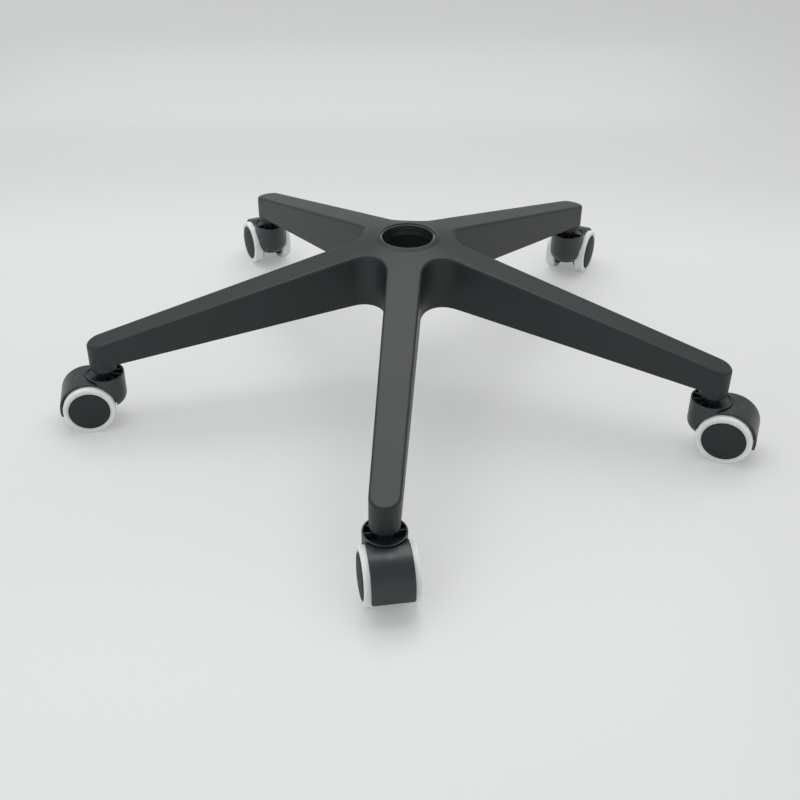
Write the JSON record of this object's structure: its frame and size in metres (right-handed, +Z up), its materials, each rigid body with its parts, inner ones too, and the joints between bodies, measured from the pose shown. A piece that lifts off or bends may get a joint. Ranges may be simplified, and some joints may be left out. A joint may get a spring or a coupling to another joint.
{
  "type": "five star swivel chair base with casters",
  "caption": "Moulded star base for a swivel chair, with hollow ribbed arms, a tapered hub for the gas lift and twin wheel swivel casters.",
  "frame": {"origin": "on the hub's axis at the mouth of the steel ring's bore, where the gas lift goes in", "axes": "+Z up along the hub's axis; the front arm points 92.7 degrees clockwise from +X seen from above"},
  "size_m": [0.6816, 0.6613, 0.1674],
  "materials": {
    "star_nylon": "charcoal glass filled nylon, fine satin grain",
    "hood_nylon": "dark grey nylon, satin",
    "wheel_nylon": "dark nylon, satin",
    "cap_nylon": "dark grey nylon, smooth satin",
    "tyre": "pale grey soft polyurethane, matt",
    "steel": "bright turned steel",
    "spring_steel": "dark spring steel"
  },
  "bodies": {
    "base": {"star_base": "star_nylon", "hub_ring": "steel", "caster_1_stem": "steel", "caster_1_grip_ring": "spring_steel", "caster_2_stem": "steel", "caster_2_grip_ring": "spring_steel", "caster_3_stem": "steel", "caster_3_grip_ring": "spring_steel", "caster_4_stem": "steel", "caster_4_grip_ring": "spring_steel", "caster_5_stem": "steel", "caster_5_grip_ring": "spring_steel"},
    "caster_1_fork": {"caster_1_hood": "hood_nylon", "caster_1_axle": "steel"},
    "caster_1_wheel_left": {"caster_1_core_left": "wheel_nylon", "caster_1_tyre_left": "tyre", "caster_1_cap_left": "cap_nylon"},
    "caster_1_wheel_right": {"caster_1_core_right": "wheel_nylon", "caster_1_tyre_right": "tyre", "caster_1_cap_right": "cap_nylon"},
    "caster_2_fork": {"caster_2_hood": "hood_nylon", "caster_2_axle": "steel"},
    "caster_2_wheel_left": {"caster_2_core_left": "wheel_nylon", "caster_2_tyre_left": "tyre", "caster_2_cap_left": "cap_nylon"},
    "caster_2_wheel_right": {"caster_2_core_right": "wheel_nylon", "caster_2_tyre_right": "tyre", "caster_2_cap_right": "cap_nylon"},
    "caster_3_fork": {"caster_3_hood": "hood_nylon", "caster_3_axle": "steel"},
    "caster_3_wheel_left": {"caster_3_core_left": "wheel_nylon", "caster_3_tyre_left": "tyre", "caster_3_cap_left": "cap_nylon"},
    "caster_3_wheel_right": {"caster_3_core_right": "wheel_nylon", "caster_3_tyre_right": "tyre", "caster_3_cap_right": "cap_nylon"},
    "caster_4_fork": {"caster_4_hood": "hood_nylon", "caster_4_axle": "steel"},
    "caster_4_wheel_left": {"caster_4_core_left": "wheel_nylon", "caster_4_tyre_left": "tyre", "caster_4_cap_left": "cap_nylon"},
    "caster_4_wheel_right": {"caster_4_core_right": "wheel_nylon", "caster_4_tyre_right": "tyre", "caster_4_cap_right": "cap_nylon"},
    "caster_5_fork": {"caster_5_hood": "hood_nylon", "caster_5_axle": "steel"},
    "caster_5_wheel_left": {"caster_5_core_left": "wheel_nylon", "caster_5_tyre_left": "tyre", "caster_5_cap_left": "cap_nylon"},
    "caster_5_wheel_right": {"caster_5_core_right": "wheel_nylon", "caster_5_tyre_right": "tyre", "caster_5_cap_right": "cap_nylon"}
  },
  "joints": [
    {"name": "caster_1_swivel", "type": "hinge", "parent": "base", "child": "caster_1_fork", "pos_m": [-0.01445, -0.30636, -0.115], "axis": [0, 0, 1], "continuous": true},
    {"name": "caster_1_roll_left", "type": "hinge", "parent": "caster_1_fork", "child": "caster_1_wheel_left", "pos_m": [0.00513, -0.32095, -0.1409], "axis": [0.9823, 0.1874, 0], "continuous": true},
    {"name": "caster_1_roll_right", "type": "hinge", "parent": "caster_1_fork", "child": "caster_1_wheel_right", "pos_m": [-0.02728, -0.32713, -0.1409], "axis": [0.9823, 0.1874, 0], "continuous": true},
    {"name": "caster_2_swivel", "type": "hinge", "parent": "base", "child": "caster_2_fork", "pos_m": [0.2869, -0.10841, -0.115], "axis": [0, 0, 1], "continuous": true},
    {"name": "caster_2_roll_left", "type": "hinge", "parent": "caster_2_fork", "child": "caster_2_wheel_left", "pos_m": [0.30929, -0.09867, -0.1409], "axis": [0.3256, 0.9455, 0], "continuous": true},
    {"name": "caster_2_roll_right", "type": "hinge", "parent": "caster_2_fork", "child": "caster_2_wheel_right", "pos_m": [0.29855, -0.12987, -0.1409], "axis": [0.3256, 0.9455, 0], "continuous": true},
    {"name": "caster_3_swivel", "type": "hinge", "parent": "base", "child": "caster_3_fork", "pos_m": [0.19176, 0.23936, -0.115], "axis": [0, 0, 1], "continuous": true},
    {"name": "caster_3_roll_left", "type": "hinge", "parent": "caster_3_fork", "child": "caster_3_wheel_left", "pos_m": [0.18401, 0.26251, -0.1409], "axis": [-0.9135, 0.4067, 0], "continuous": true},
    {"name": "caster_3_roll_right", "type": "hinge", "parent": "caster_3_fork", "child": "caster_3_wheel_right", "pos_m": [0.21416, 0.24909, -0.1409], "axis": [-0.9135, 0.4067, 0], "continuous": true},
    {"name": "caster_4_swivel", "type": "hinge", "parent": "base", "child": "caster_4_fork", "pos_m": [-0.16839, 0.25634, -0.115], "axis": [0, 0, 1], "continuous": true},
    {"name": "caster_4_roll_left", "type": "hinge", "parent": "caster_4_fork", "child": "caster_4_wheel_left", "pos_m": [-0.19103, 0.26549, -0.1409], "axis": [-0.9026, -0.4305, 0], "continuous": true},
    {"name": "caster_4_roll_right", "type": "hinge", "parent": "caster_4_fork", "child": "caster_4_wheel_right", "pos_m": [-0.16124, 0.27969, -0.1409], "axis": [-0.9026, -0.4305, 0], "continuous": true},
    {"name": "caster_5_swivel", "type": "hinge", "parent": "base", "child": "caster_5_fork", "pos_m": [-0.29583, -0.08093, -0.115], "axis": [0, 0, 1], "continuous": true},
    {"name": "caster_5_roll_left", "type": "hinge", "parent": "caster_5_fork", "child": "caster_5_wheel_left", "pos_m": [-0.31011, -0.10074, -0.1409], "axis": [0.2028, -0.9792, 0], "continuous": true},
    {"name": "caster_5_roll_right", "type": "hinge", "parent": "caster_5_fork", "child": "caster_5_wheel_right", "pos_m": [-0.3168, -0.06842, -0.1409], "axis": [0.2028, -0.9792, 0], "continuous": true}
  ]
}
